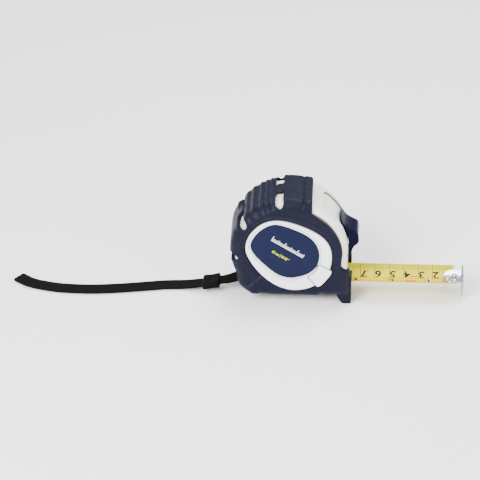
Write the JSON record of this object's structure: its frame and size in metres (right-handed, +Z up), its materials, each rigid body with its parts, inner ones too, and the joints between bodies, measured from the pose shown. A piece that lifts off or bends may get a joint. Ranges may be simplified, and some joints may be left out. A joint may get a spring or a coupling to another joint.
{
  "type": "tape measure",
  "caption": "Self-retracting steel tape measure in a round-topped rubber-jacketed case, with thumb lock, side button, end hook, belt clip and wrist strap.",
  "frame": {"origin": "middle of the flat underside of the front foot, below the blade's mouth", "axes": "+X along the blade towards the end hook, +Y towards the belt clip side, +Z up"},
  "size_m": [0.3132, 0.0542, 0.0825],
  "materials": {
    "shell": "fine satin moulding, warm light grey",
    "jacket": "matt navy rubber, finely textured",
    "trim": "glossy white",
    "label": "satin blue film",
    "lock": "glossy deep navy",
    "blade": "yellow enamel with printed scales",
    "steel": "bright nickel plate",
    "spring": "blued spring steel",
    "inner": "black moulding",
    "strap": "black nylon webbing"
  },
  "bodies": {
    "case": {"case_shell_near": "shell", "case_shell_far": "shell", "jacket_near": "jacket", "jacket_far": "jacket", "side_ring_near": "trim", "side_ring_far": "trim", "label_near": "label", "label_far": "label", "strap_pin": "steel", "case_screw_1": "steel", "case_screw_2": "steel", "case_screw_3": "steel", "belt_clip": "steel", "clip_screw": "steel", "arbor_post": "steel", "wrist_strap": "strap"},
    "blade_strip": {"blade": "blade", "hook_rivet_1": "steel", "hook_rivet_2": "steel", "hook_rivet_3": "steel", "blade_rivet": "steel"},
    "hook": {"end_hook": "steel"},
    "spool": {"spool_drum": "inner", "spool_cover": "inner", "blade_coil": "blade", "power_spring": "spring"},
    "lock": {"thumb_lock": "lock", "brake_lever": "inner", "brake_pad": "jacket"},
    "button": {"side_button": "trim", "button_spring": "spring"},
    "slider": {"strap_slider": "inner"}
  },
  "joints": [
    {"name": "spool_spin", "type": "hinge", "parent": "case", "child": "spool", "pos_m": [-0.039, 0, 0.041], "axis": [0, 1, 0], "range_deg": [0, 108.7]},
    {"name": "blade_slide", "type": "slide", "parent": "case", "child": "blade_strip", "axis": [1, 0, 0], "range_m": [-0.048, 0]},
    {"name": "hook_play", "type": "slide", "parent": "blade_strip", "child": "hook", "axis": [1, 0, 0], "range_m": [0, 0.001]},
    {"name": "lock_slide", "type": "hinge", "parent": "case", "child": "lock", "pos_m": [-0.039, 0, 0.041], "axis": [0, -1, 0], "range_deg": [0, 13]},
    {"name": "button_press", "type": "slide", "parent": "case", "child": "button", "axis": [0, 1, 0], "range_m": [0, 0.0015], "stiffness_N_per_m": 400, "springref_m": -0.001},
    {"name": "slider_slide", "type": "slide", "parent": "case", "child": "slider", "axis": [-0.975, 0.0366, -0.2194], "range_m": [-0.0045, 0.004]}
  ],
  "couplings": [
    {"joint": "blade_slide", "follows": "spool_spin", "m_per_rad": -0.0252}
  ]
}
